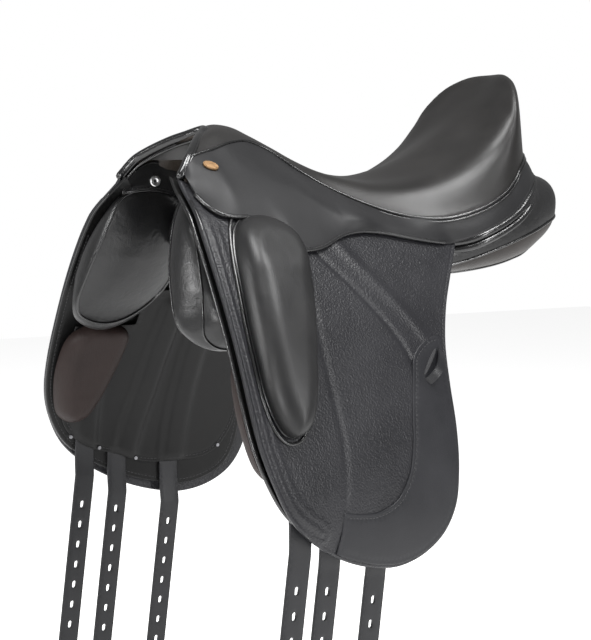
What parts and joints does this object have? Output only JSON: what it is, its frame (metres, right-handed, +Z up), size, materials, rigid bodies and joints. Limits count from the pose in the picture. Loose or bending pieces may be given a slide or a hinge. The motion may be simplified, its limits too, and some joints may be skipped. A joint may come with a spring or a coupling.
{
  "type": "english saddle",
  "caption": "Black leather dressage saddle with deep seat, lifting flaps with outside thigh blocks, stirrup bars and long hanging girth straps.",
  "frame": {"origin": "ceiling of the gullet channel under the lowest point of the seat, where the saddle sits over the horse's spine", "axes": "+X to the horse's left (near side), -Y towards the pommel, +Y towards the cantle, +Z up"},
  "size_m": [0.5576, 0.5271, 0.9131],
  "materials": {
    "seat_leather": "smooth satin black seat leather",
    "calf_leather": "smooth glossy black padded leather",
    "flap_leather": "pebbled black flap leather",
    "patch_leather": "smooth black patch leather",
    "strap_leather": "black bridle leather with waxed edges",
    "lining_leather": "very dark brown soft lining leather",
    "knee_leather": "dark brown soft grip leather",
    "welt_leather": "black piping leather",
    "foam": "seat foam",
    "webbing": "woven tree webbing",
    "tree": "laminated tree",
    "steel": "plated steel fittings",
    "brass": "brushed gold-coloured badge"
  },
  "bodies": {
    "saddle": {"seat_cover": "seat_leather", "seat_foam": "foam", "tree_shell": "tree", "seat_web_long": "webbing", "seat_web_cross": "webbing", "front_arch_roll": "welt_leather", "head_plate": "steel", "front_arch_lining": "lining_leather", "channel_lining": "lining_leather", "cantle_facing": "seat_leather", "cantle_roll_upper": "welt_leather", "cantle_roll_lower": "welt_leather", "panel_left": "calf_leather", "panel_lobe_left": "calf_leather", "point_pocket_left": "calf_leather", "pocket_stud_left": "steel", "tree_point_left": "tree", "stirrup_bar_left": "steel", "catch_pin_left": "steel", "skirt_top_left": "seat_leather", "badge_left": "brass", "panel_right": "calf_leather", "panel_lobe_right": "calf_leather", "point_pocket_right": "calf_leather", "pocket_stud_right": "steel", "tree_point_right": "tree", "stirrup_bar_right": "steel", "catch_pin_right": "steel", "skirt_top_right": "seat_leather", "badge_right": "brass"},
    "flap_left": {"flap_left": "flap_leather", "sweat_flap_left": "calf_leather", "billet_guard_left": "calf_leather", "knee_pad_left": "knee_leather", "thigh_block_left": "calf_leather", "wear_patch_left": "patch_leather", "leather_keeper_left": "strap_leather", "strap_anchors_left": "strap_leather", "guard_rivets_left": "steel"},
    "skirt_left": {"skirt_left": "seat_leather"},
    "catch_left": {"stirrup_catch_left": "steel"},
    "strap_front_left": {"girth_strap_front_left": "strap_leather"},
    "strap_middle_left": {"girth_strap_middle_left": "strap_leather"},
    "strap_rear_left": {"girth_strap_rear_left": "strap_leather"},
    "flap_right": {"flap_right": "flap_leather", "sweat_flap_right": "calf_leather", "billet_guard_right": "calf_leather", "knee_pad_right": "knee_leather", "thigh_block_right": "calf_leather", "wear_patch_right": "patch_leather", "leather_keeper_right": "strap_leather", "strap_anchors_right": "strap_leather", "guard_rivets_right": "steel"},
    "skirt_right": {"skirt_right": "seat_leather"},
    "catch_right": {"stirrup_catch_right": "steel"},
    "strap_front_right": {"girth_strap_front_right": "strap_leather"},
    "strap_middle_right": {"girth_strap_middle_right": "strap_leather"},
    "strap_rear_right": {"girth_strap_rear_right": "strap_leather"}
  },
  "joints": [
    {"name": "flap_lift_left", "type": "hinge", "parent": "saddle", "child": "flap_left", "pos_m": [0.092, -0.11, 0.047], "axis": [-0.0603, -0.9802, 0.1885], "range_deg": [0, 30]},
    {"name": "skirt_lift_left", "type": "hinge", "parent": "flap_left", "child": "skirt_left", "pos_m": [0.092, -0.11, 0.047], "axis": [-0.0603, -0.9802, 0.1885], "range_deg": [0, 50]},
    {"name": "catch_flip_left", "type": "hinge", "parent": "saddle", "child": "catch_left", "pos_m": [0.0925, -0.08, 0.02], "axis": [1, 0, 0], "range_deg": [0, 30]},
    {"name": "strap_swing_front_left", "type": "hinge", "parent": "flap_left", "child": "strap_front_left", "pos_m": [0.24668, -0.212, -0.302], "axis": [0, -0.9925, 0.1219], "range_deg": [-35, 30]},
    {"name": "strap_swing_middle_left", "type": "hinge", "parent": "flap_left", "child": "strap_middle_left", "pos_m": [0.23739, -0.172, -0.324], "axis": [0, -0.9925, 0.1219], "range_deg": [-35, 30]},
    {"name": "strap_swing_rear_left", "type": "hinge", "parent": "flap_left", "child": "strap_rear_left", "pos_m": [0.2233, -0.106, -0.342], "axis": [0, -0.9925, 0.1219], "range_deg": [-35, 30]},
    {"name": "flap_lift_right", "type": "hinge", "parent": "saddle", "child": "flap_right", "pos_m": [-0.092, -0.11, 0.047], "axis": [-0.0603, 0.9802, -0.1885], "range_deg": [0, 30]},
    {"name": "skirt_lift_right", "type": "hinge", "parent": "flap_right", "child": "skirt_right", "pos_m": [-0.092, -0.11, 0.047], "axis": [-0.0603, 0.9802, -0.1885], "range_deg": [0, 50]},
    {"name": "catch_flip_right", "type": "hinge", "parent": "saddle", "child": "catch_right", "pos_m": [-0.0925, -0.08, 0.02], "axis": [1, 0, 0], "range_deg": [0, 30]},
    {"name": "strap_swing_front_right", "type": "hinge", "parent": "flap_right", "child": "strap_front_right", "pos_m": [-0.24668, -0.212, -0.302], "axis": [0, 0.9925, -0.1219], "range_deg": [-35, 30]},
    {"name": "strap_swing_middle_right", "type": "hinge", "parent": "flap_right", "child": "strap_middle_right", "pos_m": [-0.23739, -0.172, -0.324], "axis": [0, 0.9925, -0.1219], "range_deg": [-35, 30]},
    {"name": "strap_swing_rear_right", "type": "hinge", "parent": "flap_right", "child": "strap_rear_right", "pos_m": [-0.2233, -0.106, -0.342], "axis": [0, 0.9925, -0.1219], "range_deg": [-35, 30]}
  ]
}
